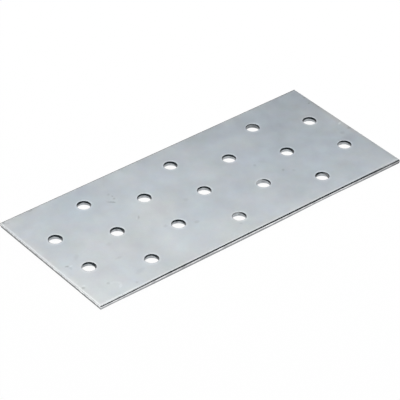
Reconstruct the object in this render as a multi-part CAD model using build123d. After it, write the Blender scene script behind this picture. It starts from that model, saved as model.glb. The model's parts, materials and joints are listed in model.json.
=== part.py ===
"""Flat steel mending plate: a strip of sheet slit to width, cut to length and punched with
staggered rows of round nail holes.

The plate lies on its underside with its length along X and its width along Y. The origin is the
middle of the underside. All sizes are in millimetres.

Each cut edge has three zones, starting at the face that the tool strikes: a rim that the tool
draws over, a straight land that it shears, and a torn face that breaks out of the cut. How high
each zone is depends on the tool, so the sides, the ends and the holes have sizes of their own.

The slitter and the punch strike the upper face. The blade that cuts lengths off the strip leaves
its drawn rim on the upper face at one side of its cut and on the underside at the other side, so
the two ends of a plate are each other's image upside down.
"""

from build123d import *

import math
import os

# Sheet
LENGTH = 140.0
WIDTH = 60.0
THICKNESS = 2.0

# Holes: every second place of a rectangular grid, so that neighbouring rows are staggered
HOLE_DIAMETER = 5.0  # at the land, which is the narrowest stretch
COLUMN_STEP = 20.0  # along X, from one grid column to the next
ROW_STEP = 10.0  # along Y, from one grid row to the next
END_MARGIN = 10.0  # least distance from a hole's centre to the plate's end
SIDE_MARGIN = 10.0  # least distance from a hole's centre to the plate's long side

# Long sides, slit: a crisp rim and a shallow land
SIDE_ROLL_WIDTH = 0.3
SIDE_ROLL_DEPTH = 0.15
SIDE_LAND_DEPTH = 0.45  # from the upper face down to where the metal tears

# Ends, cut off by a dull blade: a soft rim and a deep land
END_ROLL_WIDTH = 0.5
END_ROLL_DEPTH = 0.25
END_LAND_DEPTH = 1.1

# Hole walls, punched: a narrow rim, drawn far down
HOLE_ROLL_WIDTH = 0.22
HOLE_ROLL_DEPTH = 0.35
HOLE_LAND_DEPTH = 0.85

BREAKOUT = 0.25  # how far a torn face has run out of its cut at its foot

PUNCH_OVERRUN = 1.0  # how far the punch reaches past both faces
ON_GRID = 1e-6  # steps, so that a grid place exactly on its margin counts


def cut_edge(roll_width, roll_depth, land_depth):
    """The section of an edge cut from above, from the underside to the upper face. The land is
    on x = 0 and the metal on the side of -x."""
    tear_height = THICKNESS - land_depth
    rim_foot = THICKNESS - roll_depth
    torn = Line((-BREAKOUT, 0), (0, tear_height))
    land = Line((0, tear_height), (0, rim_foot))
    rim = EllipticalCenterArc((-roll_width, rim_foot), roll_width, roll_depth, arc_size=90)
    return Wire([torn, land, rim])


def facing_left(edge):
    """The edge's mirror image, with the metal on the side of +x."""
    return mirror(edge, about=Plane.YZ)


def upside_down(edge):
    """The same edge cut from below. It runs from the upper face to the underside."""
    return Pos(0, THICKNESS) * mirror(edge, about=Plane.XZ)


def section_between(left, right, size):
    """The sheet's section from one edge to another, with their lands the given size apart."""
    edges = [Pos(-size / 2, 0) * left, Pos(size / 2, 0) * right]
    feet = [min(edge @ 0, edge @ 1, key=lambda point: point.Y) for edge in edges]
    rims = [max(edge @ 0, edge @ 1, key=lambda point: point.Y) for edge in edges]
    return make_face(edges[0].edges() + edges[1].edges() + [Line(*feet), Line(*rims)])


def sheet():
    """The plate before punching: where the slit strip and the length cut from it meet."""
    side = cut_edge(SIDE_ROLL_WIDTH, SIDE_ROLL_DEPTH, SIDE_LAND_DEPTH)
    end = cut_edge(END_ROLL_WIDTH, END_ROLL_DEPTH, END_LAND_DEPTH)
    strip_section = section_between(facing_left(side), side, WIDTH)
    length_section = section_between(facing_left(end), upside_down(end), LENGTH)
    strip = extrude(Plane.YZ.offset(-LENGTH / 2) * strip_section, LENGTH)
    cut_length = extrude(Plane.XZ.offset(-WIDTH / 2) * length_section, WIDTH)
    return strip & cut_length


def punch():
    """The space that one hole takes, standing on the origin and reaching past both faces."""
    edge = cut_edge(HOLE_ROLL_WIDTH, HOLE_ROLL_DEPTH, HOLE_LAND_DEPTH)
    wall = Pos(HOLE_DIAMETER / 2, 0) * facing_left(edge)
    foot = wall @ 0
    rim = wall @ 1
    highest = THICKNESS + PUNCH_OVERRUN
    below = Polyline((0, -PUNCH_OVERRUN), (foot.X, -PUNCH_OVERRUN), foot)
    above = Polyline(rim, (rim.X, highest), (0, highest), (0, -PUNCH_OVERRUN))
    half_section = make_face(wall.edges() + below.edges() + above.edges())
    return revolve(Plane.XZ * half_section, Axis.Z)


def grid_places(size, margin, step):
    """Places one step apart, centred on zero, that keep at least the margin inside the size."""
    steps = math.floor((size - 2 * margin) / step + ON_GRID)
    return [(place - steps / 2) * step for place in range(steps + 1)]


def hole_centres():
    """Every second place of the grid. The grid's corners stay empty."""
    columns = grid_places(LENGTH, END_MARGIN, COLUMN_STEP)
    rows = grid_places(WIDTH, SIDE_MARGIN, ROW_STEP)
    return [
        (x, y)
        for column, x in enumerate(columns)
        for row, y in enumerate(rows)
        if (column + row) % 2 == 1
    ]


def mending_plate():
    tool = punch()
    return sheet() - [Pos(x, y, 0) * tool for x, y in hole_centres()]


os.makedirs("parts", exist_ok=True)
export_step(mending_plate(), "parts/plate.step")
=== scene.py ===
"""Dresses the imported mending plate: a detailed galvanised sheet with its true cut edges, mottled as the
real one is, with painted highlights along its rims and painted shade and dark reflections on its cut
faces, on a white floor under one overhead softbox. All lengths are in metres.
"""

import json
import math
from typing import NamedTuple

import bpy
from mathutils import Matrix, Vector, noise


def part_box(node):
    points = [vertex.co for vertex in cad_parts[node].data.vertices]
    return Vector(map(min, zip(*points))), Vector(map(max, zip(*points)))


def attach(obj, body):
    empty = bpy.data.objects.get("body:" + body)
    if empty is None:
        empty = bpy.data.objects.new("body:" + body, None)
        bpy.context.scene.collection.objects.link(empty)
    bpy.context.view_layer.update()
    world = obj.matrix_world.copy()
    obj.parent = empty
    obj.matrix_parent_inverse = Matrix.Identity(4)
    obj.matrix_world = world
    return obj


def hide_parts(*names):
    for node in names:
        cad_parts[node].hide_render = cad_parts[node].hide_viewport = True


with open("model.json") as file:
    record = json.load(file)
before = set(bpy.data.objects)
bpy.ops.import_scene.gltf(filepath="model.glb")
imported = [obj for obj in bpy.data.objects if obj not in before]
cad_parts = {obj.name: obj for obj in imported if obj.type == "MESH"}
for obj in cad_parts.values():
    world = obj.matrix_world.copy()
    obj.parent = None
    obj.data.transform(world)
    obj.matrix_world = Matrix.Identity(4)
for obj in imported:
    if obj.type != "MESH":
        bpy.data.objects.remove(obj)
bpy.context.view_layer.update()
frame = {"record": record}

MM = 0.001

# ---------------------------------------------------------------- sizes, from the frame


class CutEdge(NamedTuple):
    """A cut edge's section. Its depths are measured from the face that it rolls over."""

    roll_width: float
    roll_depth: float
    land_depth: float


SIDE_EDGE = CutEdge(roll_width=0.3 * MM, roll_depth=0.15 * MM, land_depth=0.45 * MM)
END_EDGE = CutEdge(roll_width=0.5 * MM, roll_depth=0.25 * MM, land_depth=1.1 * MM)
HOLE_EDGE = CutEdge(roll_width=0.22 * MM, roll_depth=0.35 * MM, land_depth=0.85 * MM)
BREAKOUT = 0.25 * MM  # how far the torn part of a cut slopes back

plate_low, plate_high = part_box("plate")
HALF_LENGTH = plate_high[0]
HALF_WIDTH = plate_high[1]
THICKNESS = plate_high[2] - plate_low[2]

bores = [mount for mount in frame["record"]["mounts"] if mount["kind"] == "bore"]
HOLE_RADIUS = bores[0]["dims"]["r_mm"] * MM
HOLE_CENTRES = sorted((mount["pos_m"][0], mount["pos_m"][1]) for mount in bores)

DEEP_SIDE = math.radians(-39)  # the bearing towards which the punch leaned


class HoleCut(NamedTuple):
    """How one hole's cut came out. Its land and breakout are shares of the section's. Its land is
    deeper towards DEEP_SIDE where the punch leaned, and deeper both ways along that bearing where
    the punch had worn oval."""

    land: float = 0.85
    breakout: float = 1.0
    lean: float = 0.4
    oval: float = 0.8


HOLE_CUTS = {
    (-60, -10): HoleCut(land=0.95, breakout=1.8, lean=0.6),
    (-60, 10): HoleCut(land=0.97, breakout=0.8, lean=0.35, oval=0.4),
    (-40, -20): HoleCut(land=0.82, breakout=1.2),
    (-40, 0): HoleCut(land=0.95, breakout=1.2),
    (-40, 20): HoleCut(land=0.9, breakout=1.4, lean=0.1, oval=0.5),
    (-20, -10): HoleCut(land=0.87, breakout=1.5, oval=0.6),
    (-20, 10): HoleCut(land=0.97, lean=0.35, oval=0.45),
    (0, -20): HoleCut(land=0.6, breakout=1.2),
    (0, 0): HoleCut(land=0.75, breakout=1.4, lean=0.3, oval=0.6),
    (0, 20): HoleCut(land=0.94, oval=0.6),
    (20, -10): HoleCut(land=0.5),
    (20, 10): HoleCut(land=0.87, lean=0.0, oval=0.1),
    (40, -20): HoleCut(land=0.9, lean=0.25, oval=1.5),
    (40, 0): HoleCut(land=0.93, lean=0.3, oval=0.5),
    (40, 20): HoleCut(land=0.5, breakout=0.9, lean=0.8, oval=1.2),
    (60, -10): HoleCut(land=0.8, breakout=1.4, lean=0.45, oval=0.3),
    (60, 10): HoleCut(land=0.97, lean=0.0, oval=0.2),
}

# ---------------------------------------------------------------- plate mesh

SLOT_NAMES = ("zinc", "drawn_zinc_and_painted_light", "side_land", "side_tear", "end_tear", "hole_land", "hole_tear")
ZINC, DRAWN_ZINC_AND_LIGHT, SIDE_LAND, SIDE_TEAR, END_TEAR, HOLE_LAND, HOLE_TEAR = range(len(SLOT_NAMES))

CELL_STEPS_X = 27  # mesh steps along the cell that holds the rings round a hole
CELL_STEPS_Y = 13
MARGIN_STEPS = 6
END_ROLL_STEPS = 7
SIDE_ROLL_STEPS = 4
HOLE_ROLL_STEPS = 6
RING_SPREAD = (0.05, 0.12, 0.22, 0.36, 0.55, 0.77)  # rings between a rim and its cell's border

# Levels of a cut face, counted down from its rolled rim: the land, then the tear, then the bevel
SIDE_LAND_STEPS = 4
END_LAND_STEPS = 7
CUT_STEPS = 15
HOLE_LAND_STEPS = 3
HOLE_STEPS = 11
HOLE_ROLL_ZINC_STEPS = 2  # the outermost bands of a hole's rolled rim, which keep their zinc

FACE_WAVE = 0.02 * MM  # how far the rolled sheet's upper face waves
WIDE_WAVE = 17 * MM  # the waves' two lengths, and their shares
SHORT_WAVE = 6 * MM
WIDE_SHARE = 0.35
SHORT_SHARE = 0.15
TEAR_WANDER = 0.07 * MM  # how far the tear line wanders up and down
WANDER_LENGTH = 2.3 * MM
TEAR_DRIFT = 0.16 * MM  # how far it drifts over the plate's length
DRIFT_LENGTH = 45 * MM
END_DIP = 0.2 * MM  # how far it dips towards both ends of a side
DIP_START = 45 * MM  # the dip's beginning, from the plate's middle, and its run
DIP_RUN = 15 * MM
HOLE_TEAR_WANDER = 2 * TEAR_WANDER
HOLE_WANDER_LENGTH = 0.8  # as a share of the radius
TORN_ROUGHNESS = 0.03 * MM
TORN_GRAIN = 0.6 * MM
GRAIN_RING = 2 * MM  # the radius of the ring of noise that roughens a hole's tear
BURR_BEVEL = 0.04 * MM
SHARP_ANGLE = math.radians(40)

# Seeds of the smooth noise
WIDE_WAVE_SEED = 3.1
SHORT_WAVE_SEED = 8.7
DRIFT_SEED_SHIFT = 3.3
SIDE_TEAR_SEED = 1.7
END_TEAR_SEED = 5.3
HOLE_TEAR_SEED = 31.0
SIDE_GRAIN_SEED = 12.5
END_GRAIN_SEED = 17.5
HOLE_GRAIN_SEED = 57.0


def spaced(low, high, steps):
    return [low + (high - low) * step / steps for step in range(steps + 1)]


def clamp(value):
    return min(max(value, 0), 1)


def roll_lines(edge, limit, steps):
    """Grid lines over a rolled rim, from the flat face out to the limit, closer where it turns."""
    flat = limit - edge.roll_width
    return [flat + edge.roll_width * math.sin(math.pi / 2 * step / steps) for step in range(1, steps + 1)]


def grid_lines(centres, outer, margin_steps, cell_steps, edge, limit, roll_steps):
    """Lines of the face's grid along one axis. Returns them with the index span of each cell."""
    borders = [(a + b) / 2 for a, b in zip(centres, centres[1:])]
    borders = [-outer] + borders + [outer]
    flat = limit - edge.roll_width
    roll = roll_lines(edge, limit, roll_steps)
    lines = [-value for value in reversed(roll)] + [-flat]
    if margin_steps:
        lines += spaced(-flat, -outer, margin_steps)[1:]
    spans = []
    for low, high in zip(borders, borders[1:]):
        start = len(lines) - 1
        lines += spaced(low, high, cell_steps)[1:]
        spans.append((start, len(lines) - 1))
    if margin_steps:
        lines += spaced(outer, flat, margin_steps)[1:]
    return lines + roll, spans


columns = sorted({x for x, y in HOLE_CENTRES})
rows = sorted({y for x, y in HOLE_CENTRES})
row_step = rows[1] - rows[0]
x_lines, x_spans = grid_lines(
    columns, HALF_LENGTH - END_EDGE.roll_width, 0, CELL_STEPS_X, END_EDGE, HALF_LENGTH, END_ROLL_STEPS
)
y_lines, y_spans = grid_lines(
    rows, rows[-1] + row_step / 2, MARGIN_STEPS, CELL_STEPS_Y, SIDE_EDGE, HALF_WIDTH, SIDE_ROLL_STEPS
)
LAST_I = len(x_lines) - 1
LAST_J = len(y_lines) - 1


def roll_drop(distance_in, edge):
    """How far a face has dropped at a distance inside the land of a rolled edge."""
    out = clamp(1 - distance_in / edge.roll_width)
    return edge.roll_depth * (1 - math.sqrt(1 - out * out))


def wander(x, y, scale, seed):
    """Smooth noise between about -1 and 1, that varies over the given length."""
    return noise.noise(Vector((x / scale, y / scale, seed)))


def upper_height(x, y):
    """The upper face, rolled down at both sides and at the left end, with its slight waves."""
    wide = WIDE_SHARE * wander(x, y, WIDE_WAVE, WIDE_WAVE_SEED)
    short = SHORT_SHARE * wander(x, y, SHORT_WAVE, SHORT_WAVE_SEED)
    wave = clamp(0.5 + wide + short)
    drop = max(roll_drop(HALF_LENGTH + x, END_EDGE), roll_drop(HALF_WIDTH - abs(y), SIDE_EDGE))
    return THICKNESS - max(drop, FACE_WAVE * wave)


def lower_height(x, y):
    """The underside, rolled up at the right end, which was cut from below."""
    return roll_drop(HALF_LENGTH - x, END_EDGE)


# How far the torn face of each end slopes back, and where it then ends
LEFT_BREAKOUT = 1.35 * BREAKOUT
LEFT_FOOT = LEFT_BREAKOUT + BURR_BEVEL
RIGHT_BREAKOUT = 1.9 * BREAKOUT
RIGHT_FOOT = RIGHT_BREAKOUT + BURR_BEVEL


class DeepBreak(NamedTuple):
    """A place where the near side broke away further, with its reach and the share that it adds."""

    x: float
    reach: float
    added: float


NEAR_BREAKOUT = 0.95  # the near side's share of the usual breakout, away from those places
DEEP_BREAKS = (DeepBreak(33 * MM, 15 * MM, 1.25), DeepBreak(-64 * MM, 9 * MM, 0.65))


def side_breakout(x, y):
    """How far a side's torn face slopes back."""
    if y > 0:
        return BREAKOUT
    share = NEAR_BREAKOUT
    for place in DEEP_BREAKS:
        share += place.added * math.exp(-(((x - place.x) / place.reach) ** 2))
    return BREAKOUT * share


def upper_x(x):
    """The right end's tear shortens the upper face."""
    return x * (1 - RIGHT_FOOT / HALF_LENGTH) if x > 0 else x


def lower_place(x, y):
    """The tears of the left end and of both sides narrow the underside."""
    x_scale = 1 - LEFT_FOOT / HALF_LENGTH if x < 0 else 1
    return x * x_scale, y * (1 - (side_breakout(x, y) + BURR_BEVEL) / HALF_WIDTH)


class PlateMesh:
    """Collects points and faces, each face with the slot of its material."""

    def __init__(self):
        self.points = []
        self.faces = []
        self.slots = []

    def point(self, x, y, z):
        self.points.append((x, y, z))
        return len(self.points) - 1

    def face(self, corners, slot):
        self.faces.append(corners)
        self.slots.append(slot)

    def band(self, outer, inner, slots):
        """Joins two closed loops of as many points. slots is one slot, or one for each face."""
        count = len(outer)
        for k in range(count):
            after = (k + 1) % count
            slot = slots[k] if isinstance(slots, list) else slots
            self.face((outer[k], outer[after], inner[after], inner[k]), slot)


def border_of(x_span, y_span):
    """Grid indices round a cell, anticlockwise from its lowest corner."""
    (left, right), (near, far) = x_span, y_span
    along = [(i, near) for i in range(left, right)] + [(right, j) for j in range(near, far)]
    back = [(i, far) for i in range(right, left, -1)] + [(left, j) for j in range(far, near, -1)]
    return along + back


def ring_angles(centre, x_span, y_span):
    """One angle for each border point, so that a cell's corners and its ring stay in line."""
    x0, x1 = (x_lines[i] - centre[0] for i in x_span)
    y0, y1 = (y_lines[j] - centre[1] for j in y_span)
    corners = [math.atan2(y, x) for x, y in ((x0, y0), (x1, y0), (x1, y1), (x0, y1))]
    corners = [corner if corner >= corners[0] else corner + 2 * math.pi for corner in corners]
    corners.append(corners[0] + 2 * math.pi)
    steps = (CELL_STEPS_X, CELL_STEPS_Y, CELL_STEPS_X, CELL_STEPS_Y)
    angles = []
    for low, high, count in zip(corners, corners[1:], steps):
        angles += spaced(low, high, count)[:-1]
    return angles


def cut_depths(rim, tear, land_steps, steps):
    """Depths down a cut face: the land from its rim, the tear, and the bevel at its foot."""
    torn = spaced(tear, THICKNESS - BURR_BEVEL, steps - 1 - land_steps)
    return spaced(rim, tear, land_steps) + torn[1:] + [THICKNESS]


def torn_inset(depth, tear, x, y, seed, breakout):
    """How far a torn face lies inside its land at a depth."""
    if depth <= tear:
        return 0
    inset = breakout * (depth - tear) / (THICKNESS - tear)
    if depth < THICKNESS:
        return inset + TORN_ROUGHNESS * abs(wander(x + depth, y - depth, TORN_GRAIN, seed))
    return inset + BURR_BEVEL


def tear_line(edge, x, y, seed):
    """Depth at which the tear begins below one place of a rim."""
    drift = TEAR_DRIFT * wander(x, y, DRIFT_LENGTH, seed + DRIFT_SEED_SHIFT)
    return edge.land_depth + drift + TEAR_WANDER * wander(x, y, WANDER_LENGTH, seed)


def outline_column(x, y, rim_height):
    """Places down the outline below one point of the upper face's border, rim and foot included."""
    side = math.copysign(1, y)
    side_y = side * HALF_WIDTH
    dip = END_DIP * clamp((abs(x) - DIP_START) / DIP_RUN)
    side_tear = tear_line(SIDE_EDGE, x, side_y, SIDE_TEAR_SEED) + dip
    breakout = side_breakout(x, y)
    if abs(x) < HALF_LENGTH:
        depths = cut_depths(THICKNESS - rim_height, side_tear, SIDE_LAND_STEPS, CUT_STEPS)
        foot_x, _ = lower_place(x, y)
        foot_z = lower_height(x, y)
        column = []
        for depth in depths:
            share = depth / THICKNESS
            inset = torn_inset(depth, side_tear, x, y, SIDE_GRAIN_SEED, breakout)
            place = upper_x(x) * (1 - share) + foot_x * share, side * (HALF_WIDTH - inset)
            column.append((*place, THICKNESS - depth + foot_z * share))
        return column
    end = math.copysign(1, x)
    end_tear = tear_line(END_EDGE, x, y, END_TEAR_SEED)
    end_breakout = LEFT_BREAKOUT if end < 0 else RIGHT_BREAKOUT
    column = []
    for depth in cut_depths(END_EDGE.roll_depth, end_tear, END_LAND_STEPS, CUT_STEPS):
        z = THICKNESS - depth if end < 0 else depth
        inset_x = torn_inset(depth, end_tear, x, y, END_GRAIN_SEED, end_breakout)
        inset_y = torn_inset(THICKNESS - z, side_tear, x, side_y, SIDE_GRAIN_SEED, breakout)
        column.append((end * (HALF_LENGTH - inset_x), y * (1 - inset_y / HALF_WIDTH), z))
    return column if end < 0 else column[::-1]


SIDE_SLOTS = [SIDE_LAND] * SIDE_LAND_STEPS + [SIDE_TEAR] * (CUT_STEPS - SIDE_LAND_STEPS)
LEFT_SLOTS = [DRAWN_ZINC_AND_LIGHT] * END_LAND_STEPS + [END_TEAR] * (CUT_STEPS - END_LAND_STEPS)
RIGHT_SLOTS = LEFT_SLOTS[::-1]


def add_outline(mesh, upper):
    """The cut faces round the plate. Returns the border of the underside, by its grid place."""
    perimeter = border_of((0, LAST_I), (0, LAST_J))
    loops = [[upper[key] for key in perimeter]]
    columns_down = []
    for i, j in perimeter:
        rim_height = mesh.points[upper[i, j]][2]
        columns_down.append(outline_column(x_lines[i], y_lines[j], rim_height))
    for level in range(1, CUT_STEPS + 1):
        loops.append([mesh.point(*column[level]) for column in columns_down])
    slots_down = []
    for (i, _), (i_next, _) in zip(perimeter, perimeter[1:] + perimeter[:1]):
        if i == i_next == 0:
            slots_down.append(LEFT_SLOTS)
        elif i == i_next == LAST_I:
            slots_down.append(RIGHT_SLOTS)
        else:
            slots_down.append(SIDE_SLOTS)
    for level in range(CUT_STEPS):
        mesh.band(loops[level + 1], loops[level], [slots[level] for slots in slots_down])
    return dict(zip(perimeter, loops[-1]))


def add_hole(mesh, centre, x_span, y_span, upper, lower, number):
    """The cell round one hole: rings on both faces, and the hole's wall between them."""
    border = border_of(x_span, y_span)
    directions = [(math.cos(angle), math.sin(angle)) for angle in ring_angles(centre, x_span, y_span)]
    edge = HOLE_EDGE

    def ring(radius, share, corner_loop, height):
        """A loop that is a circle at share 0 and the cell's border at share 1."""
        loop = []
        for (c, s), corner in zip(directions, corner_loop):
            bx, by, _ = mesh.points[corner]
            x = (1 - share) * (centre[0] + radius * c) + share * bx
            y = (1 - share) * (centre[1] + radius * s) + share * by
            loop.append(mesh.point(x, y, height(x, y)))
        return loop

    top_border = [upper[key] for key in border]
    loop = top_border
    for share in reversed(RING_SPREAD):
        inner = ring(HOLE_RADIUS + edge.roll_width, share, top_border, upper_height)
        mesh.band(loop, inner, ZINC)
        loop = inner
    for step in range(HOLE_ROLL_STEPS + 1):
        turn = math.pi / 2 * step / HOLE_ROLL_STEPS
        drop = edge.roll_depth * (1 - math.cos(turn))
        radius = HOLE_RADIUS + edge.roll_width * (1 - math.sin(turn))
        inner = ring(radius, 0, top_border, lambda x, y: upper_height(x, y) - drop)
        mesh.band(loop, inner, ZINC if step < HOLE_ROLL_ZINC_STEPS else HOLE_LAND)
        loop = inner

    cut = HOLE_CUTS.get((round(centre[0] / MM), round(centre[1] / MM)), HoleCut())
    breakout = BREAKOUT * cut.breakout
    walls = []
    for k, (c, s) in enumerate(directions):
        rim = THICKNESS - mesh.points[loop[k]][2]
        across = c * math.cos(DEEP_SIDE) + s * math.sin(DEEP_SIDE)
        share = cut.land * (1 + cut.lean * across + cut.oval * across ** 2)
        wandering = wander(c, s, HOLE_WANDER_LENGTH, HOLE_TEAR_SEED + number)
        tear = edge.land_depth * share + HOLE_TEAR_WANDER * wandering
        tear = min(max(tear, rim + TEAR_WANDER), THICKNESS - BURR_BEVEL - TEAR_WANDER)
        wall = []
        for depth in cut_depths(rim, tear, HOLE_LAND_STEPS, HOLE_STEPS)[1:]:
            grain_x, grain_y = GRAIN_RING * c, GRAIN_RING * s
            inset = torn_inset(depth, tear, grain_x, grain_y, HOLE_GRAIN_SEED + number, breakout)
            radius = HOLE_RADIUS + inset
            wall.append(mesh.point(centre[0] + radius * c, centre[1] + radius * s, THICKNESS - depth))
        walls.append(wall)
    for level in range(HOLE_STEPS):
        inner = [wall[level] for wall in walls]
        mesh.band(loop, inner, HOLE_LAND if level < HOLE_LAND_STEPS else HOLE_TEAR)
        loop = inner

    foot_border = [lower[key] for key in border]
    for share in RING_SPREAD:
        outer = ring(HOLE_RADIUS + breakout + BURR_BEVEL, share, foot_border, lower_height)
        mesh.band(loop, outer, ZINC)
        loop = outer
    mesh.band(loop, foot_border, ZINC)


def build_plate():
    mesh = PlateMesh()
    cells = {(x, y): (x_spans[columns.index(x)], y_spans[rows.index(y)]) for x, y in HOLE_CENTRES}
    inside = set()
    taken = set()
    for (left, right), (near, far) in cells.values():
        inside |= {(i, j) for i in range(left + 1, right) for j in range(near + 1, far)}
        taken |= {(i, j) for i in range(left, right) for j in range(near, far)}
    places = {}
    for i, x in enumerate(x_lines):
        for j, y in enumerate(y_lines):
            if (i, j) not in inside:
                places[i, j] = (x, y)

    upper = {key: mesh.point(upper_x(x), y, upper_height(x, y)) for key, (x, y) in places.items()}
    lower = add_outline(mesh, upper)
    for key, (x, y) in places.items():
        if key not in lower:
            lower[key] = mesh.point(*lower_place(x, y), lower_height(x, y))

    for i in range(LAST_I):
        for j in range(LAST_J):
            if (i, j) not in taken:
                square = ((i, j), (i + 1, j), (i + 1, j + 1), (i, j + 1))
                # The side rolls on the upper face take the side land's painted dark reflection
                painted_dark_rim = min(j, LAST_J - 1 - j) < SIDE_ROLL_STEPS
                mesh.face(tuple(upper[key] for key in square), SIDE_LAND if painted_dark_rim else ZINC)
                mesh.face(tuple(lower[key] for key in reversed(square)), ZINC)
    for number, (centre, (x_span, y_span)) in enumerate(cells.items()):
        add_hole(mesh, centre, x_span, y_span, upper, lower, number)
    return mesh


def fading(distance, reach):
    """1 at no distance, falling to 0 at the reach."""
    return clamp(1 - distance / reach)


FRONT = math.radians(-129)  # the bearing of each hole's front, on the camera's side

# How warm the zinc is round the holes, where it is 1 along the outline, and how far that reaches
HOLE_WARMTH = 0.4
OUTLINE_WARM_REACH = 3 * MM
HOLE_WARM_REACH = 1.5 * MM

# How bright the painted highlight along the rims is, and how far it reaches
HOLE_HIGHLIGHT = 0.8
HOLE_HIGHLIGHT_REACH = 0.7 * MM
FRONT_HIGHLIGHT = 0.7  # what a hole's front, on the camera's side, has in addition
FRONT_HIGHLIGHT_REACH = 0.4 * MM
NEAR_HIGHLIGHT = 1.4
NEAR_HIGHLIGHT_REACH = 0.9 * MM
NEAR_CORNER_HIGHLIGHT = 0.4  # what the near side gains towards the left end, over this run
NEAR_CORNER_RUN = 50 * MM
LEFT_HIGHLIGHT = 0.65
LEFT_HIGHLIGHT_REACH = 0.7 * MM
LEFT_BACK_LOSS = 0.45  # what the left end loses from its middle to the back corner
# The painted shade on the upper face by the right end, and how far it reaches
RIGHT_SHADE = 0.6
RIGHT_SHADE_REACH = 1.5 * MM


def from_hole_rim(x, y):
    """The distance from the nearest hole's rolled rim."""
    return min(math.dist((x, y), centre) for centre in HOLE_CENTRES) - HOLE_RADIUS - HOLE_EDGE.roll_width


def rim_warmth(x, y):
    """How warm the zinc is at a point: 1 along the outline, less round the holes."""
    outline = fading(min(HALF_LENGTH - abs(x), HALF_WIDTH - abs(y)), OUTLINE_WARM_REACH)
    return max(outline, HOLE_WARMTH * fading(from_hole_rim(x, y), HOLE_WARM_REACH))


def hole_rim_highlight(x, y):
    """The painted highlight on the holes' rims, most at the front of each hole, on the camera's side."""
    centre = min(HOLE_CENTRES, key=lambda place: math.dist((x, y), place))
    bearing = math.atan2(y - centre[1], x - centre[0])
    front = clamp(math.cos(bearing - FRONT))
    reach = HOLE_HIGHLIGHT_REACH + FRONT_HIGHLIGHT_REACH * front
    return (HOLE_HIGHLIGHT + FRONT_HIGHLIGHT * front) * fading(from_hole_rim(x, y), reach)


def rim_highlight_and_shade(x, y, z):
    """The painted highlight on the zinc at a point of the upper face: most along the near side, less
    round the holes and along the left end, and below 0 where the right end gets painted shade."""
    if z < THICKNESS - END_EDGE.roll_depth:
        return 0
    near = NEAR_HIGHLIGHT + NEAR_CORNER_HIGHLIGHT * clamp(-x / NEAR_CORNER_RUN)
    near *= fading(HALF_WIDTH - SIDE_EDGE.roll_width + y, NEAR_HIGHLIGHT_REACH)
    left = LEFT_HIGHLIGHT - LEFT_BACK_LOSS * clamp(y / HALF_WIDTH)
    left *= fading(HALF_LENGTH - END_EDGE.roll_width + x, LEFT_HIGHLIGHT_REACH)
    right_shade = RIGHT_SHADE * fading(HALF_LENGTH - RIGHT_FOOT - x, RIGHT_SHADE_REACH)
    return max(near, left, hole_rim_highlight(x, y)) - right_shade


def mesh_object(name, built, materials):
    data = bpy.data.meshes.new(name)
    data.from_pydata(built.points, [], built.faces)
    data.polygons.foreach_set("material_index", built.slots)
    for material in materials:
        data.materials.append(material)
    data.polygons.foreach_set("use_smooth", [True] * len(data.polygons))
    data.set_sharp_from_angle(angle=SHARP_ANGLE)
    # The painted highlight along the rims, less the painted shade by the right end
    painted_rim_light = data.attributes.new("painted_rim_light", "FLOAT", "POINT")
    painted_rim_light.data.foreach_set("value", [rim_highlight_and_shade(*point) for point in built.points])
    warmth = data.attributes.new("warmth", "FLOAT", "POINT")
    warmth.data.foreach_set("value", [rim_warmth(x, y) for x, y, _ in built.points])
    data.validate()
    obj = bpy.data.objects.new(name, data)
    bpy.context.scene.collection.objects.link(obj)
    return obj


# ---------------------------------------------------------------- materials


def add_node(tree, kind, **values):
    """Adds a node. Keys are its properties or, with underscores for spaces, its inputs."""
    node = tree.nodes.new(kind)
    for key, value in values.items():
        if hasattr(node, key):
            setattr(node, key, value)
        else:
            node.inputs[key.replace("_", " ")].default_value = value
    return node


def math_node(tree, operation, *inputs):
    """A maths node whose inputs are numbers or other nodes' outputs. Returns its output."""
    node = tree.nodes.new("ShaderNodeMath")
    node.operation = operation
    for socket, value in zip(node.inputs, inputs):
        if isinstance(value, bpy.types.NodeSocket):
            tree.links.new(value, socket)
        else:
            socket.default_value = value
    return node.outputs[0]


def metal_shader(name, roughness):
    material = bpy.data.materials.new(name)
    material.use_nodes = True
    shader = material.node_tree.nodes["Principled BSDF"]
    shader.inputs["Metallic"].default_value = 1.0
    shader.inputs["Roughness"].default_value = roughness
    return material, material.node_tree, shader


def place_in_mm(tree):
    """The surface's own place on the plate, in millimetres."""
    place = tree.nodes.new("ShaderNodeTexCoord")
    scaled = add_node(tree, "ShaderNodeVectorMath", operation="SCALE", Scale=1 / MM)
    tree.links.new(place.outputs["Object"], scaled.inputs[0])
    return scaled.outputs[0]


class Mottle(NamedTuple):
    """A noise, centred on 0, with blotches of about the given size in millimetres, longer along an
    axis where stretch is below 1. Its strength is the share in which it is added to a value."""

    size: float
    detail: float
    strength: float = 1.0
    shift: tuple = (0, 0, 0)
    stretch: tuple = (1, 1, 1)


def mottle_output(tree, place, mottle):
    """The noise itself, without its strength."""
    scale = tuple(k / mottle.size for k in mottle.stretch)
    mapping = add_node(tree, "ShaderNodeMapping", Location=mottle.shift, Scale=scale)
    tree.links.new(place, mapping.inputs["Vector"])
    texture = add_node(tree, "ShaderNodeTexNoise", Scale=1.0, Detail=mottle.detail)
    tree.links.new(mapping.outputs[0], texture.inputs["Vector"])
    return math_node(tree, "SUBTRACT", texture.outputs[0], 0.5)


def add_mottle(tree, place, mottle, value):
    return math_node(tree, "MULTIPLY_ADD", mottle_output(tree, place, mottle), mottle.strength, value)


def clamped(tree, value):
    return math_node(tree, "MINIMUM", math_node(tree, "MAXIMUM", value, 0.0), 1.0)


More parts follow.
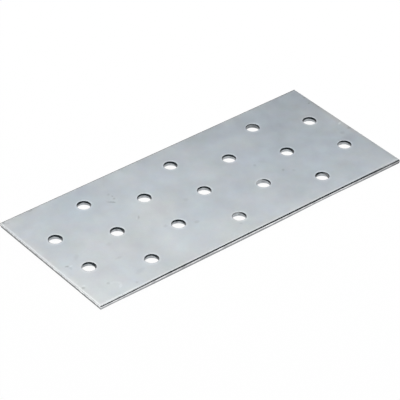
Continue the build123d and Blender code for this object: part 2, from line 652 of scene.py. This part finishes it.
def mixed_colour(tree, factor, low, high):
    """A mix of two colours. Inputs 6 and 7 and output 2 are the node's sockets for colours."""
    mix = add_node(tree, "ShaderNodeMix", data_type="RGBA")
    tree.links.new(factor, mix.inputs[0])
    mix.inputs[6].default_value = (*low, 1)
    mix.inputs[7].default_value = (*high, 1)
    return mix.outputs[2]


def toned(tree, colour, tone):
    """A colour times 1 plus the tone."""
    scale = add_node(tree, "ShaderNodeVectorMath", operation="SCALE")
    tree.links.new(colour, scale.inputs[0])
    tree.links.new(math_node(tree, "ADD", tone, 1.0), scale.inputs["Scale"])
    return scale.outputs[0]


def add_bump(tree, shader, height, distance):
    bump = add_node(tree, "ShaderNodeBump", Strength=1.0, Distance=distance)
    tree.links.new(height, bump.inputs["Height"])
    tree.links.new(bump.outputs[0], shader.inputs["Normal"])


class Mark(NamedTuple):
    """A mark on the zinc, in millimetres and degrees. Its tone is negative where it is darker."""

    x: float
    y: float
    length: float
    width: float
    turn: float
    tone: float
    z: float = THICKNESS / MM
    height: float = 2.0


MARKS = (
    # Broad pale and dull areas
    Mark(-18, 0, 46, 76, 0, 0.075),
    Mark(-36, -9, 18, 20, 0, -0.05),
    Mark(-25, 27, 18, 16, 0, 0.05),
    Mark(-55, -23, 16, 18, 0, 0.06),
    Mark(-68, 27, 14, 12, 0, 0.07),
    Mark(-54, 14, 30, 14, 0, -0.035),
    Mark(5, -5, 13, 13, 0, 0.05),
    Mark(35, 1, 18, 22, 0, 0.045),
    Mark(46, -20, 14, 18, 0, -0.04),
    Mark(55, -5, 15, 15, 0, 0.07),
    Mark(62, 17, 42, 38, 0, -0.06),
    Mark(30, 27, 56, 14, 0, -0.045),
    # The scuff and its dots, towards the back
    Mark(-31.1, 15.3, 4.0, 1.4, -42, -0.20),
    Mark(-30.4, 14.7, 1.8, 1.0, -42, -0.15),
    Mark(-29.0, 16.4, 1.5, 1.1, 60, -0.25),
    Mark(-28.6, 18.0, 1.2, 0.8, 60, -0.27),
    Mark(-29.1, 19.6, 1.9, 1.4, 30, -0.13),
    # The nick in the middle of the left half
    Mark(-28.9, 1.9, 2.9, 0.8, 46, -0.20),
    Mark(-29.6, 1.9, 2.0, 0.7, 46, 0.09),
    # Dots in the right half
    Mark(31.1, -8.2, 1.9, 1.1, 50, -0.17),
    Mark(34.1, -10.8, 1.9, 1.6, -40, -0.09),
    Mark(24.7, 0.6, 2.0, 1.6, 40, -0.13),
    Mark(28.3, 0.6, 3.5, 2.0, -40, -0.05),
    # Handling marks by the left end
    Mark(-66.1, -5.2, 2.0, 1.2, -30, -0.31),
    Mark(-64.8, -5.9, 1.5, 1.4, 0, 0.12),
    Mark(-65.6, -7.0, 2.2, 1.4, 80, -0.10),
    Mark(-60.5, -3.1, 4.6, 2.2, 45, -0.07),
    Mark(-68.7, -18.4, 1.9, 1.4, 20, -0.27),
    Mark(-68.0, -17.5, 1.9, 1.6, 0, 0.12),
    # The pale bow with the dot above it
    Mark(-59.2, -22.3, 2.4, 1.4, 8, 0.06),
    Mark(-57.8, -22.8, 2.4, 1.4, -45, 0.07),
    Mark(-57.1, -24.2, 2.6, 1.5, 85, 0.07),
    Mark(-57.9, -25.4, 2.4, 1.6, 40, 0.11),
    Mark(-60.4, -21.6, 1.8, 1.5, 50, -0.19),
    # The right end
    Mark(68.0, 1.7, 2.6, 1.1, 30, 0.24),
    Mark(68.7, -2.8, 1.9, 1.6, 0, -0.20),
    Mark(64.6, -3.6, 2.7, 2.4, 0, -0.09),
    Mark(67.8, 19.3, 1.2, 1.1, 0, -0.26),
    Mark(69.1, 23.2, 1.6, 1.4, 0, -0.22),
    # By the left corner and the back rim
    Mark(-69.0, 29.2, 1.6, 1.2, 0, -0.28),
    Mark(-67.8, 28.0, 1.4, 1.2, 0, -0.12),
    Mark(-57.1, 29.2, 3.4, 1.3, 0, -0.17),
    # Faint smudges
    Mark(-8.9, -0.3, 3.0, 2.4, 0, -0.07),
    Mark(-24.5, -8.1, 2.2, 1.8, 0, -0.12),
    Mark(-14.1, -13.1, 2.7, 2.2, 0, -0.13),
    Mark(-52.2, -27.3, 1.6, 1.4, 0, -0.13),
    Mark(-47.4, -22.9, 5.4, 2.7, 10, -0.07),
    Mark(-48.8, -12.4, 3.8, 1.4, 0, -0.09),
    Mark(-46.9, -4.0, 3.0, 2.4, 0, -0.07),
    Mark(-2.3, -23.7, 1.5, 1.2, 0, -0.11),
)

# Broad areas where the zinc is warmer, or cooler below 0
TINT_MARKS = (
    Mark(-67, 28, 12, 10, 0, 0.4),
    Mark(-40, 23, 46, 22, 0, -0.25),
    Mark(-22, 0, 20, 20, 0, 0.4),
    Mark(-45, -26, 14, 12, 0, 0.4),
    Mark(10, -15, 24, 14, 0, 0.45),
    Mark(46, -3, 50, 60, 0, -0.2),
    Mark(70, 2, 6, 56, 0, 0.6),
)

# Where a hole's land is pale, without its painted dark reflection, with the share that is
LAND_MARKS = (
    Mark(-62.0, -8.4, 3.2, 3.0, 0, 0.6, z=1.4, height=5.0),
    Mark(0.0, -17.6, 6.0, 4.6, 0, 0.62, z=1.3, height=6.0),
    Mark(19.2, -7.8, 5.2, 4.0, 10, 1.0, z=1.4, height=6.0),
    Mark(40.6, 22.5, 7.0, 5.0, -40, 0.2, z=1.3, height=6.0),
    Mark(42.5, -19.6, 3.8, 3.4, 0, 0.3, z=1.2, height=5.0),
    Mark(58.8, -7.8, 3.8, 3.4, 0, 0.25, z=1.3, height=5.0),
)

# Where the sides' painted dark land thins out
SIDE_LAND_MARKS = (
    Mark(-68, -30, 38, 4, 0, 0.03, z=1.7, height=4.0),
    Mark(-65, -30, 46, 4, 0, 0.85, z=2.05, height=0.58),
    Mark(68, -30, 26, 4, 0, 0.5, z=2.05, height=0.54),
)

# Where a hole's torn wall is dark with painted shade, low in the hole
TEAR_MARKS = (
    Mark(-60.8, -7.6, 4.4, 4.0, 0, -0.25, z=0.6, height=4.0),
    Mark(-38.6, 2.2, 1.4, 1.4, 0, -0.3, z=0.6, height=1.2),
    Mark(-19.0, -7.6, 1.4, 1.4, 0, -0.35, z=0.8, height=1.2),
    Mark(41.3, 22.2, 6.0, 5.0, 0, -0.4, z=0.6, height=4.0),
    Mark(42.4, 20.8, 3.0, 3.0, 0, -0.2, z=0.6, height=4.0),
    Mark(1.6, -18.1, 1.0, 1.0, 0, -0.45, z=0.7, height=0.7),
    Mark(2.3, -19.2, 1.0, 1.0, 0, -0.45, z=0.5, height=0.9),
)

# Where the near side's torn face is dull, or bright above 0
SIDE_TEAR_MARKS = (
    Mark(66, -30, 40, 6, 0, -0.2, z=1.0, height=5.0),
    Mark(71, -30, 12, 6, 0, -0.35, z=1.0, height=5.0),
    Mark(-66, -30, 40, 6, 0, 0.2, z=0.4, height=3.0),
)


RAGGED = 0.45  # millimetres by which noise moves the outline of a mark
RAGGED_SCALE = 1.6
FULL_TONE = 0.6  # the share of the way to a mark's middle, inwards of which it has its full tone
TONE_SOFTNESS = 0.3


def marks_tone(tree, place, marks):
    """The sum of the marks' tones, with ragged outlines."""
    ragged = add_node(tree, "ShaderNodeTexNoise", Scale=RAGGED_SCALE, Detail=2.0)
    tree.links.new(place, ragged.inputs["Vector"])
    offset = add_node(tree, "ShaderNodeVectorMath", operation="MULTIPLY_ADD")
    tree.links.new(ragged.outputs["Color"], offset.inputs[0])
    offset.inputs[1].default_value = (2 * RAGGED, 2 * RAGGED, 0)
    offset.inputs[2].default_value = (-RAGGED, -RAGGED, 0)
    moved = add_node(tree, "ShaderNodeVectorMath", operation="ADD")
    tree.links.new(place, moved.inputs[0])
    tree.links.new(offset.outputs[0], moved.inputs[1])
    total = 0.0
    for mark in marks:
        mapping = add_node(tree, "ShaderNodeMapping", vector_type="TEXTURE")
        mapping.inputs["Location"].default_value = (mark.x, mark.y, mark.z)
        mapping.inputs["Rotation"].default_value = (0, 0, math.radians(mark.turn))
        mapping.inputs["Scale"].default_value = (mark.length / 2, mark.width / 2, mark.height / 2)
        tree.links.new(moved.outputs[0], mapping.inputs["Vector"])
        spot = add_node(tree, "ShaderNodeTexGradient", gradient_type="SPHERICAL")
        tree.links.new(mapping.outputs[0], spot.inputs[0])
        smooth = math_node(tree, "SMOOTH_MIN", spot.outputs["Fac"], FULL_TONE, TONE_SOFTNESS)
        total = math_node(tree, "MULTIPLY_ADD", smooth, mark.tone / FULL_TONE, total)
    return total


COOL_ZINC = (0.518, 0.574, 0.627)
WARM_ZINC = (0.561, 0.577, 0.577)
ZINC_ROUGHNESS = 0.38
RIM_WARMTH = 0.3
# How much the painted rim highlight lightens the zinc
RIM_HIGHLIGHT_TONE = 0.17
WARM_LEAN = Vector((-0.0045, -0.0056, 0))  # how much warmer the zinc is for each millimetre

WIDE_TINT = Mottle(22, 2.0, strength=2.1, shift=(3.7, 9.1, 0))
FINE_TINT = Mottle(2.4, 3.0, strength=1.0, shift=(6.4, 0.8, 0))
CLOUDS = Mottle(14, 3.0, strength=0.26, shift=(0.4, 5.2, 0))
WIDE_CLOUDS = Mottle(30, 1.0, strength=0.2, shift=(8.1, 2.7, 0))
BLOTCHES = Mottle(4.5, 2.0, strength=0.12, shift=(7.3, 1.9, 0))
BLOTCH_ROUGHNESS = 0.10
GRAIN = Mottle(0.45, 2.0, strength=0.07)
GREENS = Mottle(5, 3.0, strength=0.09, shift=(2.9, 4.4, 0))
ZINC_PEEL = Mottle(0.9, 3.0)
ZINC_PEEL_DEPTH = 0.008 * MM


def zinc_colour(tree, place):
    """The zinc's hue, from cool to warm, before its tone."""
    tint = add_mottle(tree, place, WIDE_TINT, 0.5)
    tint = add_mottle(tree, place, FINE_TINT, tint)
    along = add_node(tree, "ShaderNodeVectorMath", operation="DOT_PRODUCT")
    tree.links.new(place, along.inputs[0])
    along.inputs[1].default_value = WARM_LEAN
    tint = math_node(tree, "ADD", tint, along.outputs["Value"])
    tint = math_node(tree, "ADD", tint, marks_tone(tree, place, TINT_MARKS))
    tint = clamped(tree, tint)
    warmth = add_node(tree, "ShaderNodeAttribute", attribute_name="warmth")
    tint = math_node(tree, "MULTIPLY", tint, 1 - RIM_WARMTH)
    tint = math_node(tree, "MULTIPLY_ADD", warmth.outputs["Fac"], RIM_WARMTH, tint)
    return mixed_colour(tree, tint, COOL_ZINC, WARM_ZINC)


def zinc_tone(tree, place, blotches):
    """How much lighter or darker the zinc is, from its clouds, its marks, its painted rim highlight and
    the painted shade by its right end.
    """
    tone = add_mottle(tree, place, CLOUDS, 0.0)
    tone = add_mottle(tree, place, WIDE_CLOUDS, tone)
    tone = math_node(tree, "MULTIPLY_ADD", blotches, BLOTCHES.strength, tone)
    tone = add_mottle(tree, place, GRAIN, tone)
    tone = math_node(tree, "ADD", tone, marks_tone(tree, place, MARKS))
    painted_rim_light = add_node(tree, "ShaderNodeAttribute", attribute_name="painted_rim_light")
    return math_node(tree, "MULTIPLY_ADD", painted_rim_light.outputs["Fac"], RIM_HIGHLIGHT_TONE, tone)


def zinc_material():
    material, tree, shader = metal_shader("galvanised_zinc", ZINC_ROUGHNESS)
    place = place_in_mm(tree)
    colour = zinc_colour(tree, place)
    blotches = mottle_output(tree, place, BLOTCHES)
    tone = zinc_tone(tree, place, blotches)
    green = add_node(tree, "ShaderNodeCombineXYZ", X=1.0, Z=1.0)
    tree.links.new(add_mottle(tree, place, GREENS, 1.0), green.inputs["Y"])
    tinted = add_node(tree, "ShaderNodeVectorMath", operation="MULTIPLY")
    tree.links.new(toned(tree, colour, tone), tinted.inputs[0])
    tree.links.new(green.outputs[0], tinted.inputs[1])
    tree.links.new(tinted.outputs[0], shader.inputs["Base Color"])
    rough = math_node(tree, "MULTIPLY_ADD", blotches, BLOTCH_ROUGHNESS, ZINC_ROUGHNESS)
    tree.links.new(rough, shader.inputs["Roughness"])
    add_bump(tree, shader, mottle_output(tree, place, ZINC_PEEL), ZINC_PEEL_DEPTH)
    return material


# The drawn zinc's two colours: dark as painted shade low down, bright as a painted highlight high up
SHADED_DRAWN = (0.26, 0.27, 0.28)
HIGHLIT_DRAWN = (0.93, 0.95, 0.96)
DRAWN_SHADE_TOP = 1.02  # millimetres above the underside, below which the drawn zinc is dark with painted shade
DRAWN_HIGHLIGHT_FOOT = 1.72  # and above which it is bright with a painted highlight
DRAWN_HIGHLIGHT_RISE = 0.005  # by which both rise for each millimetre towards the back
FLECKS = Mottle(0.8, 2.0, strength=1.2, stretch=(1, 1, 0.6))
DRAWN_PEEL = Mottle(0.5, 2.0, stretch=(1, 1, 0.3))
DRAWN_PEEL_DEPTH = 0.02 * MM
DRAWN_ROUGHNESS = 0.34


def drawn_zinc_and_light_material():
    """The land of the sheared ends, over which the soft zinc was drawn, with a painted highlight over its
    upper part and painted shade over its lower part.
    """
    material, tree, shader = metal_shader("drawn_zinc_and_painted_light", DRAWN_ROUGHNESS)
    place = place_in_mm(tree)
    height = add_node(tree, "ShaderNodeSeparateXYZ")
    tree.links.new(place, height.inputs[0])
    climb = add_node(tree, "ShaderNodeMapRange", interpolation_type="SMOOTHSTEP")
    climb.inputs["From Min"].default_value = DRAWN_SHADE_TOP
    climb.inputs["From Max"].default_value = DRAWN_HIGHLIGHT_FOOT
    level = math_node(tree, "MULTIPLY_ADD", height.outputs["Y"], -DRAWN_HIGHLIGHT_RISE, height.outputs["Z"])
    tree.links.new(add_mottle(tree, place, FLECKS, level), climb.inputs[0])
    colour = mixed_colour(tree, climb.outputs[0], SHADED_DRAWN, HIGHLIT_DRAWN)
    tree.links.new(colour, shader.inputs["Base Color"])
    add_bump(tree, shader, mottle_output(tree, place, DRAWN_PEEL), DRAWN_PEEL_DEPTH)
    return material


PALE_LAND = (0.55, 0.57, 0.58)
LAND_ROUGHNESS = 0.33
LAND_STREAKS = Mottle(0.4, 2.0, stretch=(1, 1, 0.15))
LAND_STREAK_DEPTH = 0.01 * MM
LAND_PATCHES = Mottle(3.0, 2.0, strength=1.6, shift=(2.2, 0, 4.1))


def land_material(name, colour, streak, marks):
    """A burnished land with its dark reflection painted into its colour, with fine streaks down it where
    the tool slid, and with pale places.
    """
    material, tree, shader = metal_shader(name, LAND_ROUGHNESS)
    place = place_in_mm(tree)
    streaks = mottle_output(tree, place, LAND_STREAKS)
    patches = add_mottle(tree, place, LAND_PATCHES, 0.0)
    tone = math_node(tree, "MULTIPLY_ADD", streaks, streak, patches)
    pale = math_node(tree, "MINIMUM", marks_tone(tree, place, marks), 1.0)
    base = mixed_colour(tree, pale, colour, PALE_LAND)
    tree.links.new(toned(tree, base, tone), shader.inputs["Base Color"])
    add_bump(tree, shader, streaks, LAND_STREAK_DEPTH)
    return material


TEAR_ROUGHNESS = 0.55
TORN_GRAINS = Mottle(0.22, 3.0, strength=1.2)
TORN_GRAIN_DEPTH = 0.05 * MM
SHADE_TOP = 1.1  # millimetres above the underside, from which a painted shade darkens a torn face downwards
SHADE_FULL = 0.55


def torn_patches(size, strength=2.6):
    return Mottle(size, 2.0, strength, shift=(6.0, 0, 1.3), stretch=(1, 1, 2.2))


def tear_material(name, dark, light, patches, pale=0.55, foot_shade=0.0, marks=()):
    """Torn metal: coarse grains, in patches of two tones, darker towards the foot by a painted shade."""
    material, tree, shader = metal_shader(name, TEAR_ROUGHNESS)
    place = place_in_mm(tree)
    grains = mottle_output(tree, place, TORN_GRAINS)
    share = add_mottle(tree, place, patches, pale)
    share = math_node(tree, "MULTIPLY_ADD", grains, TORN_GRAINS.strength, share)
    if foot_shade:
        height = add_node(tree, "ShaderNodeSeparateXYZ")
        tree.links.new(place, height.inputs[0])
        low_down = add_node(tree, "ShaderNodeMapRange", interpolation_type="SMOOTHSTEP")
        low_down.inputs["From Min"].default_value = SHADE_TOP
        low_down.inputs["From Max"].default_value = SHADE_FULL
        tree.links.new(height.outputs["Z"], low_down.inputs[0])
        share = math_node(tree, "MULTIPLY_ADD", low_down.outputs[0], -foot_shade, share)
    share = clamped(tree, share)
    colour = mixed_colour(tree, share, dark, light)
    if marks:
        colour = toned(tree, colour, marks_tone(tree, place, marks))
    tree.links.new(colour, shader.inputs["Base Color"])
    add_bump(tree, shader, grains, TORN_GRAIN_DEPTH)
    return material


# The lands' near-black colours: burnished steel with its dark reflection painted in, and painted shade as
# well in the holes
DARK_SIDE_LAND = (0.026, 0.030, 0.034)
DARK_HOLE_LAND = (0.022, 0.028, 0.032)
SIDE_TEAR_DARK = (0.33, 0.34, 0.35)
SIDE_TEAR_LIGHT = (0.96, 0.97, 0.98)
# The ends' torn faces: bare torn steel, made near-black by painted shade
END_TEAR_DARK = (0.065, 0.07, 0.07)
END_TEAR_LIGHT = (0.19, 0.20, 0.20)
HOLE_TEAR_DARK = (0.30, 0.32, 0.34)
HOLE_TEAR_LIGHT = (0.55, 0.58, 0.605)

materials = {
    "zinc": zinc_material(),
    "drawn_zinc_and_painted_light": drawn_zinc_and_light_material(),
    "side_land": land_material("side_land", DARK_SIDE_LAND, streak=1.2, marks=SIDE_LAND_MARKS),
    "side_tear": tear_material(
        "side_tear",
        SIDE_TEAR_DARK,
        SIDE_TEAR_LIGHT,
        torn_patches(1.8, strength=1.6),
        pale=0.7,
        foot_shade=1.1,
        marks=SIDE_TEAR_MARKS,
    ),
    "end_tear": tear_material("end_tear", END_TEAR_DARK, END_TEAR_LIGHT, torn_patches(2.5)),
    "hole_land": land_material("hole_land", DARK_HOLE_LAND, streak=0.8, marks=LAND_MARKS),
    "hole_tear": tear_material(
        "hole_tear", HOLE_TEAR_DARK, HOLE_TEAR_LIGHT, torn_patches(1.4), marks=TEAR_MARKS
    ),
}

plate = mesh_object("galvanised_plate", build_plate(), [materials[name] for name in SLOT_NAMES])
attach(plate, "root")
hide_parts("plate")

# ---------------------------------------------------------------- floor and world


def any_ray(tree, kinds):
    """A factor that is 1 for rays of the given kinds, and 0 for the others."""
    path = tree.nodes.new("ShaderNodeLightPath")
    total = path.outputs[kinds[0]]
    for kind in kinds[1:]:
        total = math_node(tree, "MAXIMUM", total, path.outputs[kind])
    return total


WHITE = (1, 1, 1, 1)
PAPER = (0.85, 0.85, 0.85, 1)
FLOOR_WHITE = 0.97  # share of the floor's own white. The rest takes light, and so keeps the shadow
FLOOR_DROP = 0.02 * MM  # keeps the floor clear of the underside's plane


def floor_material():
    """White paper, that is clear from below."""
    material = bpy.data.materials.new("white_floor")
    material.use_nodes = True
    tree = material.node_tree
    tree.nodes.clear()
    output = tree.nodes.new("ShaderNodeOutputMaterial")
    paper = add_node(tree, "ShaderNodeBsdfDiffuse", Color=PAPER)
    white = add_node(tree, "ShaderNodeEmission", Color=WHITE, Strength=1.0)
    seen = any_ray(tree, ("Is Camera Ray", "Is Glossy Ray", "Is Transmission Ray"))
    mix = tree.nodes.new("ShaderNodeMixShader")
    tree.links.new(math_node(tree, "MULTIPLY", seen, FLOOR_WHITE), mix.inputs[0])
    tree.links.new(paper.outputs[0], mix.inputs[1])
    tree.links.new(white.outputs[0], mix.inputs[2])
    below = tree.nodes.new("ShaderNodeMixShader")
    tree.links.new(tree.nodes.new("ShaderNodeNewGeometry").outputs["Backfacing"], below.inputs[0])
    tree.links.new(mix.outputs[0], below.inputs[1])
    tree.links.new(tree.nodes.new("ShaderNodeBsdfTransparent").outputs[0], below.inputs[2])
    tree.links.new(below.outputs[0], output.inputs["Surface"])
    return material


FLOOR_HALF = 4.0  # half the floor's side

floor_corners = [
    (sx * FLOOR_HALF, sy * FLOOR_HALF, -FLOOR_DROP) for sx, sy in ((-1, -1), (1, -1), (1, 1), (-1, 1))
]
floor_data = bpy.data.meshes.new("floor")
floor_data.from_pydata(floor_corners, [], [(0, 1, 2, 3)])
floor_data.materials.append(floor_material())
floor = bpy.data.objects.new("floor", floor_data)
bpy.context.scene.collection.objects.link(floor)

AZIMUTH = math.radians(-39.364)  # the camera's bearing round the plate, from the -Y side
towards_camera = Vector((math.sin(AZIMUTH), -math.cos(AZIMUTH), 0))

ROOM_GREY = 0.22  # the room's strength beyond the plate
ROOM_PALE = 0.9  # and behind the camera
ROOM_TURN = 0.5  # the cosine of the angle to the camera's bearing, or away from it, where each is full
BACKDROP_TOP = 0.24  # the white backdrop fades out upwards between these sines of elevation
BACKDROP_FULL = 0.06


def make_world():
    """A room that is pale behind the camera and grey beyond the plate. Its white backdrop shows to
    the camera, and low down in reflections."""
    world = bpy.data.worlds.new("studio")
    bpy.context.scene.world = world
    world.use_nodes = True
    tree = world.node_tree
    tree.nodes.clear()
    output = tree.nodes.new("ShaderNodeOutputWorld")
    room = add_node(tree, "ShaderNodeBackground", Color=WHITE)
    white = add_node(tree, "ShaderNodeBackground", Color=WHITE, Strength=1.0)
    direction = tree.nodes.new("ShaderNodeTexCoord")
    behind = add_node(tree, "ShaderNodeVectorMath", operation="DOT_PRODUCT")
    tree.links.new(direction.outputs["Generated"], behind.inputs[0])
    behind.inputs[1].default_value = towards_camera
    brighter = add_node(tree, "ShaderNodeMapRange", interpolation_type="SMOOTHSTEP")
    brighter.inputs["From Min"].default_value = -ROOM_TURN
    brighter.inputs["From Max"].default_value = ROOM_TURN
    brighter.inputs["To Min"].default_value = ROOM_GREY
    brighter.inputs["To Max"].default_value = ROOM_PALE
    tree.links.new(behind.outputs["Value"], brighter.inputs[0])
    tree.links.new(brighter.outputs[0], room.inputs["Strength"])
    split = tree.nodes.new("ShaderNodeSeparateXYZ")
    tree.links.new(direction.outputs["Generated"], split.inputs[0])
    low_down = add_node(tree, "ShaderNodeMapRange", interpolation_type="SMOOTHSTEP")
    low_down.inputs["From Min"].default_value = BACKDROP_TOP
    low_down.inputs["From Max"].default_value = BACKDROP_FULL
    tree.links.new(split.outputs["Z"], low_down.inputs[0])
    mirrored = math_node(tree, "MULTIPLY", any_ray(tree, ("Is Glossy Ray",)), low_down.outputs[0])
    seen = math_node(tree, "MAXIMUM", mirrored, any_ray(tree, ("Is Camera Ray", "Is Transmission Ray")))
    mix = tree.nodes.new("ShaderNodeMixShader")
    tree.links.new(seen, mix.inputs[0])
    tree.links.new(room.outputs[0], mix.inputs[1])
    tree.links.new(white.outputs[0], mix.inputs[2])
    tree.links.new(mix.outputs[0], output.inputs["Surface"])


make_world()

# ---------------------------------------------------------------- lights and camera

ELEVATION = math.radians(36.482)
DISTANCE = 0.8042
LENS = 198.45
SENSOR_WIDTH = 36
ROLL = math.radians(0.636)
AIM = Vector((-4.11 * MM, -2.60 * MM, 1.0 * MM))


def add_softbox(name, width, depth, radiance, centre):
    """A softbox that faces down, with its depth along the camera's bearing."""
    light = bpy.data.lights.new(name, "AREA")
    light.shape = "RECTANGLE"
    light.size = width
    light.size_y = depth
    light.energy = radiance * math.pi * width * depth
    obj = bpy.data.objects.new(name, light)
    bpy.context.scene.collection.objects.link(obj)
    obj.location = centre
    obj.rotation_euler = (0, 0, AZIMUTH)


SOFTBOX_HEIGHT = 0.5
SOFTBOX_WIDTH = 1.3
SOFTBOX_FRONT = -0.05  # its two edges, measured from the plate's middle away from the camera
SOFTBOX_BACK = 0.62
SOFTBOX_RADIANCE = 1.445

softbox_depth = SOFTBOX_BACK - SOFTBOX_FRONT
softbox_centre = -towards_camera * (SOFTBOX_FRONT + SOFTBOX_BACK) / 2 + Vector((0, 0, SOFTBOX_HEIGHT))
add_softbox("overhead_softbox", SOFTBOX_WIDTH, softbox_depth, SOFTBOX_RADIANCE, softbox_centre)

camera_data = bpy.data.cameras.new("camera")
camera_data.lens = LENS
camera_data.sensor_width = SENSOR_WIDTH
camera_data.clip_start = 0.01
camera_data.clip_end = 20
camera = bpy.data.objects.new("camera", camera_data)
bpy.context.scene.collection.objects.link(camera)
back = Vector((
    math.sin(AZIMUTH) * math.cos(ELEVATION),
    -math.cos(AZIMUTH) * math.cos(ELEVATION),
    math.sin(ELEVATION),
))
camera.location = AIM + back * DISTANCE
camera.rotation_mode = "QUATERNION"
turn = back.to_track_quat("Z", "Y").to_matrix() @ Matrix.Rotation(ROLL, 3, "Z")
camera.rotation_quaternion = turn.to_quaternion()
bpy.context.scene.camera = camera
bpy.context.scene.view_settings.view_transform = "Standard"
